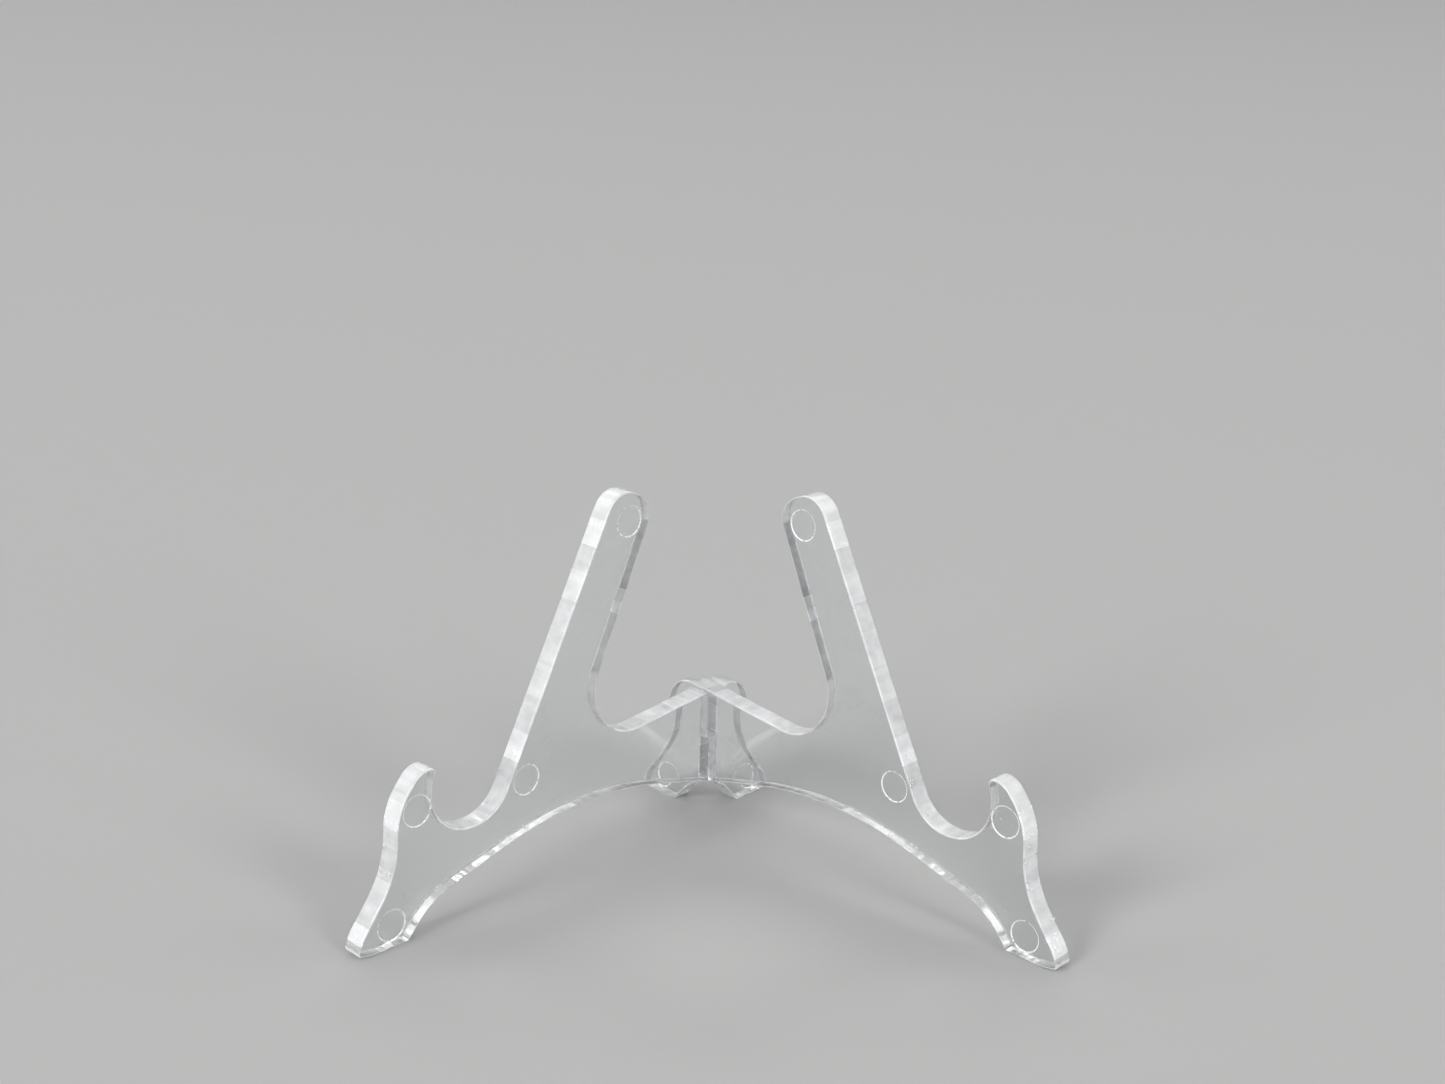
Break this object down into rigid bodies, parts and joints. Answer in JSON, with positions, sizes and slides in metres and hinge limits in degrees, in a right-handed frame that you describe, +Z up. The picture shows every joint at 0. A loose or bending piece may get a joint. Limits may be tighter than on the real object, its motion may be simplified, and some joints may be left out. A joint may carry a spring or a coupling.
{
  "type": "plate display stand",
  "caption": "Clear plastic plate stand: easel-shaped halves cross and slot together, each with a hooked seat for the plate's rim and a sloping arm to lean it on.",
  "frame": {"origin": "middle of the stand's footprint, on the surface it stands on", "axes": "+Z up, +Y from the front hooks to the rear feet, +X to the viewer's right"},
  "size_m": [0.1484, 0.0906, 0.0851],
  "materials": {
    "clear_plastic": "clear, polished, moulded"
  },
  "bodies": {
    "left": {"left_half": "clear_plastic"},
    "right": {"right_half": "clear_plastic"}
  },
  "joints": [
    {"name": "right_half_lift", "type": "slide", "parent": "left", "child": "right", "axis": [0, 0, 1], "range_m": [0, 0.09]}
  ]
}
